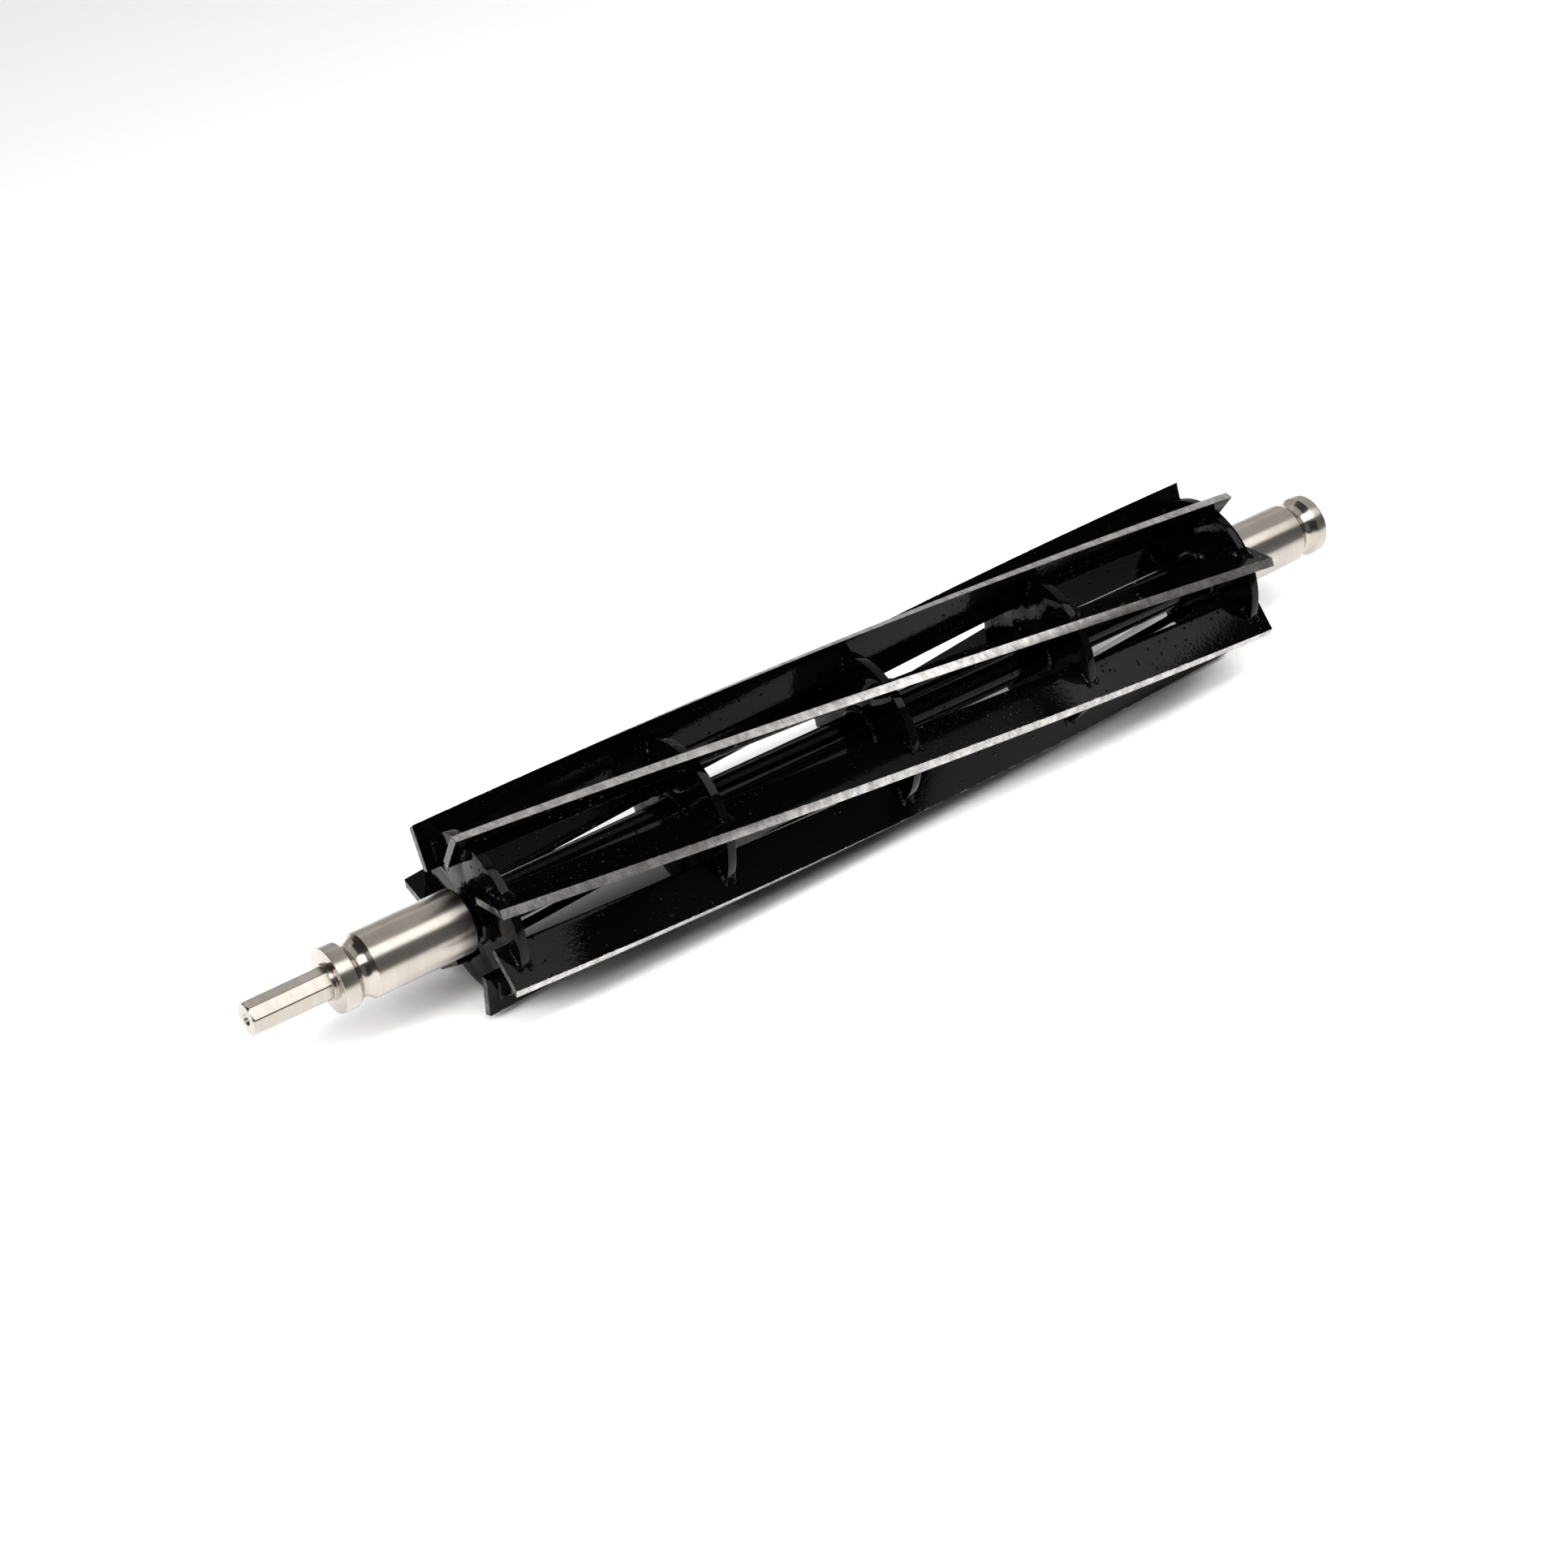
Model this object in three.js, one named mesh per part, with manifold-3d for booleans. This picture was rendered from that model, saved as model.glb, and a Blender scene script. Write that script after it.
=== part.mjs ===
// Cutting reel of a reel mower: a bare welded cylinder of seven helical blades on a
// shaft, with a bright turned stub at each end that runs in the mower's bearings.
// Millimetres. The reel's axis is X, with the drive stub at -X; +Z is up. The origin is
// on the axis, halfway between the ends of the blades.

import * as THREE from 'three';
import { mergeVertices } from 'three/addons/utils/BufferGeometryUtils.js';
import Module from 'manifold-3d';

// ---- Driving dimensions ----

const FIT_GAP = 0.3;              // between any two pieces that seat on each other

// blades
const BLADE_COUNT = 7;
const REEL_RADIUS = 63.5;         // over the ground edges, a five inch reel
const BLADE_LENGTH = 619;
const BLADE_TWIST = 57;           // degrees, from the drive end to the plain end
const BLADE_PHASE = 40;           // degrees from +Y towards +Z, first blade at the drive end
const BLADE_RAKE = 22;            // degrees that a blade leans from the radius at its edge
const BLADE_DEPTH = 29.6;         // from the ground edge to the inner edge
const BLADE_THICKNESS = 5.6;
const BLADE_STEPS = 30;           // facets along the length
const DEPTH_STEPS = 2;            // facets across the depth
const LAND_STEPS = 2;             // facets across the ground edge

// centre shaft
const SHAFT_RADIUS = 14.3;        // 1 1/8 inch bar
const SOCKET_DEPTH = 45;          // how far the shaft's end goes into each stub

// spiders: the slotted discs that carry the blades
const SPIDER_COUNT = 5;
const EDGE_PROUD = 9.9;           // how far the ground edges stand out past the spiders' rims
const SPIDER_THICKNESS = 6.35;
const SPIDER_INSET = 12.1;        // end of the blades to the middle of the first spider
const SPIDER_SHIFTS = [0, 3.7, 1.6, 1.1, 0];  // each spider stands this far off even spacing
const SPIDER_CHAMFER = 0.5;

// fillet welds between the shaft and the spiders
const WELD_LEG = 4;
const WELD_CROWN = 0.62;          // where the bead's face stands, as a share of its leg

// bearing journals, turned on both stubs
const JOURNAL_RADIUS = 21;
const JOURNAL_LENGTH = 67.7;
const JOURNAL_INSET = 0.9;        // journal shoulder, inside the end of the blades
const JOURNAL_ROUND = 1.6;        // rounded corner of that shoulder
const EDGE_BREAK = 0.5;           // chamfer on the other turned corners

// round-bottomed groove and end collar, outside each journal
const GROOVE_WALL = 40;           // slope of the groove's walls, degrees
const GROOVE_ROUND = 6.5;         // radius of its bottom
const DRIVE_GROOVE_WIDTH = 13.2;
const DRIVE_COLLAR_WIDTH = 10;
const PLAIN_GROOVE_WIDTH = 14.5;
const PLAIN_COLLAR_WIDTH = 7.7;

// drive stub with eight flats
const DRIVE_FLATS = 8;
const DRIVE_ACROSS_FLATS = 20.1;
const DRIVE_LENGTH = 54.9;
const DRIVE_PHASE = 16.5;         // degrees from +Y to the first corner of the flats
const DRIVE_END_CHAMFER = 1;
const DRIVE_ROOT_RADIUS = 11.8;   // round shoulder where the flats meet the collar
const DRIVE_ROOT_LENGTH = 2.6;

// centre holes in the two ends
const CENTRE_RADIUS = 3.9;
const CENTRE_CONE_DEPTH = 4.2;
const CENTRE_PILOT_RADIUS = 1.5;
const CENTRE_PILOT_DEPTH = 8;
const CENTRE_POINT_DEPTH = 0.8;   // the pilot's pointed bottom

const CUT_OVERRUN = 2;            // how far a cutting solid runs past what it cuts

// facets round the turned pieces and across their curves
const TURNED_SIDES = 40;
const CENTRE_SIDES = 20;
const RIM_SIDES = 64;
const GROOVE_STEPS = 6;
const ROUND_STEPS = 2;

// ---- Places worked out from them ----

const halfBlade = BLADE_LENGTH / 2;
const journalShoulder = halfBlade - JOURNAL_INSET;
const journalEnd = journalShoulder + JOURNAL_LENGTH;
const shaftEnd = journalShoulder + SOCKET_DEPTH - FIT_GAP;
const spiderRadius = REEL_RADIUS - EDGE_PROUD;
const firstSpider = -halfBlade + SPIDER_INSET;
const spiderPitch = -2 * firstSpider / (SPIDER_COUNT - 1);
const bladePitch = 2 * Math.PI / BLADE_COUNT;

// ---- Finishes ----

const enamel = () => new THREE.MeshStandardMaterial({ color: 0x141416, roughness: 0.25, metalness: 0.1 });
const turnedSteel = () => new THREE.MeshStandardMaterial({ color: 0xbdb8b0, roughness: 0.32, metalness: 1 });

// ---- Solids ----

const wasm = await Module();
wasm.setup();

function toManifold(geometry) {
  const bare = geometry.index ? geometry.toNonIndexed() : geometry.clone();
  bare.deleteAttribute('normal');
  bare.deleteAttribute('uv');
  const merged = mergeVertices(bare, 1e-4);
  return new wasm.Manifold(new wasm.Mesh({
    numProp: 3,
    vertProperties: new Float32Array(merged.attributes.position.array),
    triVerts: new Uint32Array(merged.index.array),
  }));
}

function toGeometry(manifold) {
  const mesh = manifold.getMesh();
  const geometry = new THREE.BufferGeometry();
  geometry.setAttribute('position', new THREE.BufferAttribute(new Float32Array(mesh.vertProperties), 3));
  geometry.setIndex(new THREE.BufferAttribute(new Uint32Array(mesh.triVerts), 1));
  geometry.computeVertexNormals();
  return geometry;
}

// A solid of revolution about X. The profile is a list of [x, radius], with x rising.
function turned(profile, sides = TURNED_SIDES) {
  const points = profile.map(([x, radius]) => new THREE.Vector2(radius, x));
  const geometry = new THREE.LatheGeometry(points, sides);
  geometry.rotateZ(-Math.PI / 2);
  return geometry;
}

// An outline in the Y-Z plane carried along X from startX, for length.
function extrudedAlongX(shape, startX, length, options = {}) {
  const geometry = new THREE.ExtrudeGeometry(shape, { depth: length, bevelEnabled: false, ...options });
  // the outline's x and y become Y and Z, and its depth becomes X
  geometry.applyMatrix4(new THREE.Matrix4().set(
    0, 0, 1, startX,
    1, 0, 0, 0,
    0, 1, 0, 0,
    0, 0, 0, 1,
  ));
  return geometry;
}

// ---- Blades ----

// Section of a blade whose ground edge is centred on +Y at the reel's radius. The strip
// leans by the rake, and its outer face is ground to the reel's cylinder. grow makes it
// bigger all round, for the slots that it sits in.
function bladeSection(grow) {
  const rake = THREE.MathUtils.degToRad(BLADE_RAKE);
  const along = new THREE.Vector2(Math.cos(rake), Math.sin(rake));
  const across = new THREE.Vector2(-along.y, along.x);
  const half = BLADE_THICKNESS / 2 + grow;
  const outerRadius = REEL_RADIUS + grow;
  const corner = (side, distance) => new THREE.Vector2(REEL_RADIUS, 0)
    .addScaledVector(across, side * half)
    .addScaledVector(along, distance);
  const onCylinder = (side) => {
    const start = corner(side, 0);
    const b = start.dot(along);
    return start.clone().addScaledVector(along, -b + Math.sqrt(b * b - start.lengthSq() + outerRadius ** 2));
  };
  const from = onCylinder(-1).angle();
  const to = onCylinder(1).angle();
  const turn = THREE.MathUtils.euclideanModulo(to - from + Math.PI, 2 * Math.PI) - Math.PI;
  const innerEdge = -BLADE_DEPTH - grow;
  const outline = [];
  for (let i = 1; i <= DEPTH_STEPS; i += 1) {
    outline.push(corner(1, innerEdge * i / DEPTH_STEPS));
  }
  for (let i = DEPTH_STEPS; i >= 1; i -= 1) {
    outline.push(corner(-1, innerEdge * i / DEPTH_STEPS));
  }
  for (let i = 0; i <= LAND_STEPS; i += 1) {
    const angle = from + turn * i / LAND_STEPS;
    outline.push(new THREE.Vector2(Math.cos(angle), Math.sin(angle)).multiplyScalar(outerRadius));
  }
  return new THREE.Shape(outline);
}

// Stretch of blade number index from startX to endX, turned about X as it goes.
function helicalBlade(index, startX, endX, steps, grow = 0) {
  const geometry = extrudedAlongX(bladeSection(grow), startX, endX - startX, { steps });
  const position = geometry.attributes.position;
  const point = new THREE.Vector3();
  const xAxis = new THREE.Vector3(1, 0, 0);
  const start = THREE.MathUtils.degToRad(BLADE_PHASE) + index * bladePitch;
  const twist = THREE.MathUtils.degToRad(BLADE_TWIST) / BLADE_LENGTH;
  for (let i = 0; i < position.count; i += 1) {
    point.fromBufferAttribute(position, i);
    point.applyAxisAngle(xAxis, start + twist * (point.x + halfBlade));
    position.setXYZ(i, point.x, point.y, point.z);
  }
  geometry.computeVertexNormals();
  return geometry;
}

// ---- Spiders ----

function spiderCentre(index) {
  return firstSpider + index * spiderPitch + SPIDER_SHIFTS[index];
}

// Disc with a bore for the shaft and a slot for each blade, open at the rim.
function spider(index) {
  const faceX = spiderCentre(index) - SPIDER_THICKNESS / 2;
  const backX = faceX + SPIDER_THICKNESS;
  const bore = SHAFT_RADIUS + FIT_GAP;
  const plate = turned([
    [faceX, bore],
    [faceX, spiderRadius - SPIDER_CHAMFER],
    [faceX + SPIDER_CHAMFER, spiderRadius],
    [backX - SPIDER_CHAMFER, spiderRadius],
    [backX, spiderRadius - SPIDER_CHAMFER],
    [backX, bore],
    [faceX, bore],
  ], RIM_SIDES);
  let solid = toManifold(plate);
  for (let blade = 0; blade < BLADE_COUNT; blade += 1) {
    const slot = helicalBlade(blade, faceX - CUT_OVERRUN, backX + CUT_OVERRUN, 2, FIT_GAP);
    solid = solid.subtract(toManifold(slot));
  }
  return toGeometry(solid);
}

// Fillet weld round the shaft, against one face of a spider. side is -1 for the face
// towards the drive end. Its section is a three sided bead with a crowned outer face.
function shaftWeld(index, side) {
  const faceX = spiderCentre(index) + side * (SPIDER_THICKNESS / 2 + FIT_GAP);
  const inner = SHAFT_RADIUS + FIT_GAP;
  const crown = WELD_LEG * WELD_CROWN;
  const bead = [
    [0, inner],
    [WELD_LEG, inner],
    [crown, inner + crown],
    [0, inner + WELD_LEG],
    [0, inner],
  ].map(([out, radius]) => [faceX + side * out, radius]);
  return turned(side > 0 ? bead.reverse() : bead);
}

// ---- Shaft and stubs ----

function centreShaft() {
  return turned([
    [-shaftEnd, 0],
    [-shaftEnd, SHAFT_RADIUS - EDGE_BREAK],
    [-shaftEnd + EDGE_BREAK, SHAFT_RADIUS],
    [shaftEnd - EDGE_BREAK, SHAFT_RADIUS],
    [shaftEnd, SHAFT_RADIUS - EDGE_BREAK],
    [shaftEnd, 0],
  ]);
}

// Profile of the socket, the journal, the groove and the collar, from the middle of the
// reel outwards, as [x, radius] for the end at +X.
function journalProfile(grooveWidth, collarWidth) {
  const socket = SHAFT_RADIUS + FIT_GAP;
  const collarEnd = journalEnd + grooveWidth + collarWidth;
  const profile = [
    [journalShoulder + SOCKET_DEPTH, 0],
    [journalShoulder + SOCKET_DEPTH, socket],
    [journalShoulder, socket],
  ];
  for (let i = 0; i <= ROUND_STEPS; i += 1) {
    const angle = i / ROUND_STEPS * Math.PI / 2;
    profile.push([
      journalShoulder + JOURNAL_ROUND * (1 - Math.cos(angle)),
      JOURNAL_RADIUS - JOURNAL_ROUND * (1 - Math.sin(angle)),
    ]);
  }
  // the groove's two sloping walls run into an arc, which starts and ends at their slope
  const halfWidth = grooveWidth / 2;
  const wall = THREE.MathUtils.degToRad(GROOVE_WALL);
  const wallDrop = (halfWidth - GROOVE_ROUND * Math.sin(wall)) * Math.tan(wall);
  profile.push([journalEnd, JOURNAL_RADIUS]);
  for (let i = 0; i <= GROOVE_STEPS; i += 1) {
    const angle = wall * (2 * i / GROOVE_STEPS - 1);
    profile.push([
      journalEnd + halfWidth + GROOVE_ROUND * Math.sin(angle),
      JOURNAL_RADIUS - wallDrop + GROOVE_ROUND * (Math.cos(wall) - Math.cos(angle)),
    ]);
  }
  profile.push(
    [journalEnd + grooveWidth, JOURNAL_RADIUS],
    [collarEnd - EDGE_BREAK, JOURNAL_RADIUS],
    [collarEnd, JOURNAL_RADIUS - EDGE_BREAK],
  );
  return profile;
}

// Centre hole drilled into an end face at endX on the +X side.
function centreHole(endX) {
  return toManifold(turned([
    [endX - CENTRE_PILOT_DEPTH, 0],
    [endX - CENTRE_PILOT_DEPTH + CENTRE_POINT_DEPTH, CENTRE_PILOT_RADIUS],
    [endX - CENTRE_CONE_DEPTH, CENTRE_PILOT_RADIUS],
    [endX, CENTRE_RADIUS],
    [endX + CUT_OVERRUN, CENTRE_RADIUS],
    [endX + CUT_OVERRUN, 0],
  ], CENTRE_SIDES));
}

function plainStub() {
  const endX = journalEnd + PLAIN_GROOVE_WIDTH + PLAIN_COLLAR_WIDTH;
  const profile = journalProfile(PLAIN_GROOVE_WIDTH, PLAIN_COLLAR_WIDTH);
  const body = toManifold(turned([...profile, [endX, 0]]));
  return toGeometry(body.subtract(centreHole(endX)));
}

// Made for the +X end and then turned round to the drive end.
function driveStub() {
  const collarEnd = journalEnd + DRIVE_GROOVE_WIDTH + DRIVE_COLLAR_WIDTH;
  const endX = collarEnd + DRIVE_LENGTH;
  const rootEnd = collarEnd + DRIVE_ROOT_LENGTH;
  const body = toManifold(turned([
    ...journalProfile(DRIVE_GROOVE_WIDTH, DRIVE_COLLAR_WIDTH),
    [collarEnd, DRIVE_ROOT_RADIUS],
    [rootEnd - EDGE_BREAK, DRIVE_ROOT_RADIUS],
    [rootEnd, DRIVE_ROOT_RADIUS - EDGE_BREAK],
    [rootEnd, 0],
  ]));
  const cornerRadius = DRIVE_ACROSS_FLATS / 2 / Math.cos(Math.PI / DRIVE_FLATS);
  const corners = [];
  for (let i = 0; i < DRIVE_FLATS; i += 1) {
    const angle = Math.PI - THREE.MathUtils.degToRad(DRIVE_PHASE) + i * 2 * Math.PI / DRIVE_FLATS;
    corners.push(new THREE.Vector2(Math.cos(angle), Math.sin(angle)).multiplyScalar(cornerRadius));
  }
  const flats = toManifold(extrudedAlongX(new THREE.Shape(corners), collarEnd, DRIVE_LENGTH));
  const chamferEnvelope = toManifold(turned([
    [collarEnd - CUT_OVERRUN, 0],
    [collarEnd - CUT_OVERRUN, cornerRadius + CUT_OVERRUN],
    [endX - DRIVE_END_CHAMFER - CUT_OVERRUN, cornerRadius + CUT_OVERRUN],
    [endX, cornerRadius - DRIVE_END_CHAMFER],
    [endX, 0],
  ]));
  const solid = body.add(flats.intersect(chamferEnvelope)).subtract(centreHole(endX));
  const geometry = toGeometry(solid);
  geometry.rotateZ(Math.PI);
  return geometry;
}

// ---- The reel ----

const reel = new THREE.Group();

function add(name, geometry, material) {
  const mesh = new THREE.Mesh(geometry, material);
  mesh.name = name;
  reel.add(mesh);
}

add('centre_shaft', centreShaft(), enamel());
add('drive_stub', driveStub(), turnedSteel());
add('plain_stub', plainStub(), turnedSteel());

for (let i = 0; i < SPIDER_COUNT; i += 1) {
  add(`spider_${i + 1}`, spider(i), enamel());
  add(`shaft_weld_${i + 1}_drive_side`, shaftWeld(i, -1), enamel());
  add(`shaft_weld_${i + 1}_plain_side`, shaftWeld(i, 1), enamel());
}

for (let i = 0; i < BLADE_COUNT; i += 1) {
  add(`blade_${i + 1}`, helicalBlade(i, -halfBlade, halfBlade, BLADE_STEPS), enamel());
}

export default reel;
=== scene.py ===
"""Cutting reel of a reel mower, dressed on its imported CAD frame.

The reel's axis is X with the drive stub at -X, +Z is up, and the origin is on the axis,
halfway along the blades. Lengths are metres and angles are radians.
"""

import bpy
import numpy as np
from mathutils import Matrix, Vector


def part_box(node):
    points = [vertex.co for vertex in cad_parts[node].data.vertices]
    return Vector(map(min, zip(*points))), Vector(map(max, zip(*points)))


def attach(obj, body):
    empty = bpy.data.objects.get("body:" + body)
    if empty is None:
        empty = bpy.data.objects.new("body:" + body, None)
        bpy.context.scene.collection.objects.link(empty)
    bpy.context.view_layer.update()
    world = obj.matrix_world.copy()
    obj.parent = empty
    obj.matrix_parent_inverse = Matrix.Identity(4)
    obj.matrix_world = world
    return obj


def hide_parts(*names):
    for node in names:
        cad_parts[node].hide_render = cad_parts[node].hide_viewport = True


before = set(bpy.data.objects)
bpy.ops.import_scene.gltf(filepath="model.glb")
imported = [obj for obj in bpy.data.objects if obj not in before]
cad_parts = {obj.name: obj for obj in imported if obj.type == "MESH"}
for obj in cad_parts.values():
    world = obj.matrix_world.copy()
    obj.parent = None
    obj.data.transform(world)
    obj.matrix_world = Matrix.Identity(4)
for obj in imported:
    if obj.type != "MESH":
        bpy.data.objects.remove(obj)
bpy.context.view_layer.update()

# ---- Sizes that the pieces share ----

BLADES = 7
REEL_RADIUS = 0.0635
BLADE_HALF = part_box("blade_1")[1].x
BLADE_TWIST = np.radians(57.0)
BLADE_PHASE = np.radians(40.0)
BLADE_RAKE = np.radians(22.0)
BLADE_DEPTH = 0.0296
BLADE_THICKNESS = 0.0056

SHAFT_RADIUS = 0.0143
SHAFT_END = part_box("centre_shaft")[1].x

SPIDERS = 5
EDGE_PROUD = 0.0099  # how far a blade's edge stands out of a spider's rim
SPIDER_RADIUS = REEL_RADIUS - EDGE_PROUD
SLOT_GAP = 0.00015
BORE_GAP = 0.0003

JOURNAL_RADIUS = 0.021
JOURNAL_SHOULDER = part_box("plain_stub")[0].x
JOURNAL_LENGTH = 0.0677
JOURNAL_END = JOURNAL_SHOULDER + JOURNAL_LENGTH
SOCKET_DEPTH = 0.045
SOCKET_RADIUS = 0.0146
GROOVE_WALL = np.radians(40.0)  # slope of the grooves' walls
GROOVE_ROUND = 0.0065  # radius of their bottoms
DRIVE_GROOVE = 0.0132
DRIVE_COLLAR = 0.010
PLAIN_GROOVE = 0.0145
PLAIN_COLLAR = 0.0077

DRIVE_FLATS = 8
DRIVE_APOTHEM = 0.01005  # from the axis to the middle of a flat
DRIVE_PHASE = np.radians(16.5)
DRIVE_END = -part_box("drive_stub")[0].x
DRIVE_COLLAR_END = JOURNAL_END + DRIVE_GROOVE + DRIVE_COLLAR
ROOT_RADIUS = 0.0118  # the low ring between the drive collar and the flats
ROOT_LENGTH = 0.0026
CENTRE_RADIUS = 0.0039

FLOOR = -REEL_RADIUS


def blade_turn(x):
    """Angle of the first blade's edge at x, from +Y towards +Z: the phase at the drive end
    plus the twist in proportion to the distance along."""
    return BLADE_PHASE + BLADE_TWIST * (x + BLADE_HALF) / (2 * BLADE_HALF)


def turned(flat, angle):
    """Points (y, z) turned about the axis by the angle, from +Y towards +Z."""
    y, z = flat[..., 0], flat[..., 1]
    return np.stack([y * np.cos(angle) - z * np.sin(angle), y * np.sin(angle) + z * np.cos(angle)], -1)


def waves(x, seed, scale, terms=5):
    """A wandering value about zero, within +-1: a mean of sines of x whose wavelengths are
    spread about scale and whose phases come from the seed."""
    chance = np.random.RandomState(seed)
    total = np.zeros(np.shape(x))
    for _ in range(terms):
        length = scale * chance.uniform(0.45, 1.8)
        total = total + chance.uniform(0.5, 1.0) * np.sin(2 * np.pi * (x / length + chance.uniform()))
    return total / terms


# ---- Meshes from grids ----


def lay_mesh(name, vertices, faces, uv, finishes, finish_index=None, crease=28.0, node=None):
    """Puts vertices and faces into a mesh, turned so that its volume is positive, with smooth
    shading broken where faces meet at more than the crease angle. uv holds one pair for each
    corner of each face, in the order of the faces."""
    volume = 0.0
    for size in sorted({len(f) for f in faces}):
        same = np.array([f for f in faces if len(f) == size])
        corner = vertices[same]
        for k in range(1, size - 1):
            cross = np.cross(corner[:, k], corner[:, k + 1])
            volume += float(np.einsum("ij,ij->", corner[:, 0], cross))
    if volume < 0:
        faces = [f[::-1] for f in faces]
        uv = [c[::-1] for c in uv]
    mesh = bpy.data.meshes.new(name)
    mesh.from_pydata(vertices.tolist(), [], faces)
    layer = mesh.uv_layers.new(name="surface")
    layer.data.foreach_set("uv", np.concatenate(uv).astype(np.float32).ravel())
    for finish in finishes:
        mesh.materials.append(finish)
    if finish_index is not None:
        mesh.polygons.foreach_set("material_index", np.asarray(finish_index, np.int32))
    mesh.polygons.foreach_set("use_smooth", np.ones(len(mesh.polygons), bool))
    mesh.set_sharp_from_angle(angle=np.radians(crease))
    mesh.update()
    piece = bpy.data.objects.new(name, mesh)
    bpy.context.scene.collection.objects.link(piece)
    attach(piece, "root")
    if node:
        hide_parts(*node)
    return piece


def skin(rings, joined=False):
    """Faces over a grid of rings. rings[i, j] is point j of ring i, and each ring closes on
    itself. Unless the last ring is joined to the first, each end is closed by a fan about
    the end ring's middle. Gives vertices, faces and uv: u is the distance along the rings'
    mean path and v the distance round."""
    n, m = rings.shape[:2]
    vertices = rings.reshape(-1, 3)
    step = np.linalg.norm(np.diff(rings, axis=0), axis=2).mean(axis=1)
    u = np.concatenate([[0.0], np.cumsum(step)])
    girth = np.linalg.norm(rings - np.roll(rings, -1, axis=1), axis=2).sum(axis=1).max()
    v = np.linspace(0.0, girth, m + 1)
    i, j = np.meshgrid(np.arange(n if joined else n - 1), np.arange(m), indexing="ij")
    next_i, next_j = (i + 1) % n, (j + 1) % m
    quads = np.stack([i * m + j, i * m + next_j, next_i * m + next_j, next_i * m + j], -1).reshape(-1, 4)
    far = np.where(next_i == 0, u[-1] + step.mean(), u[next_i])
    quad_uv = np.stack([
        np.stack([u[i], v[j]], -1),
        np.stack([u[i], v[j + 1]], -1),
        np.stack([far, v[j + 1]], -1),
        np.stack([far, v[j]], -1),
    ], 2).reshape(-1, 4, 2)
    faces, uv = quads.tolist(), list(quad_uv)
    if not joined:
        ends = np.stack([rings[0].mean(axis=0), rings[-1].mean(axis=0)])
        vertices = np.concatenate([vertices, ends])
        j = np.arange(m)
        next_j = (j + 1) % m
        reach = [np.linalg.norm(rings[e] - ends[e], axis=1).mean() for e in (0, -1)]
        first = np.stack([next_j, j, np.full(m, n * m)], -1)
        last = np.stack([(n - 1) * m + j, (n - 1) * m + next_j, np.full(m, n * m + 1)], -1)
        faces += first.tolist() + last.tolist()
        near, past = np.full(m, u[0] - reach[0]), np.full(m, u[-1] + reach[1])
        start, end = np.full(m, u[0]), np.full(m, u[-1])
        uv += list(np.stack([
            np.stack([start, v[j + 1]], -1), np.stack([start, v[j]], -1), np.stack([near, v[j]], -1),
        ], 1))
        uv += list(np.stack([
            np.stack([end, v[j]], -1), np.stack([end, v[j + 1]], -1), np.stack([past, v[j]], -1),
        ], 1))
    return vertices, faces, uv


def eased(profile, steps=4):
    """A polyline of (x, radius, ease) whose corners become quadratic curves that start and
    end at the ease distance from the corner. An ease of 0 keeps the corner."""
    points = np.array([p[:2] for p in profile], float)
    ease = [p[2] if len(p) > 2 else 0.0 for p in profile]
    out = [points[0]]
    t = np.linspace(0.0, 1.0, steps + 1)[:, None]
    for k in range(1, len(points) - 1):
        if not ease[k]:
            out.append(points[k])
            continue
        back, on = points[k - 1] - points[k], points[k + 1] - points[k]
        a = points[k] + back / np.linalg.norm(back) * min(ease[k], np.linalg.norm(back) * 0.48)
        c = points[k] + on / np.linalg.norm(on) * min(ease[k], np.linalg.norm(on) * 0.48)
        out.extend((1 - t) ** 2 * a + 2 * t * (1 - t) * points[k] + t ** 2 * c)
    out.append(points[-1])
    return np.array(out)


# ---- Materials ----


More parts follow.
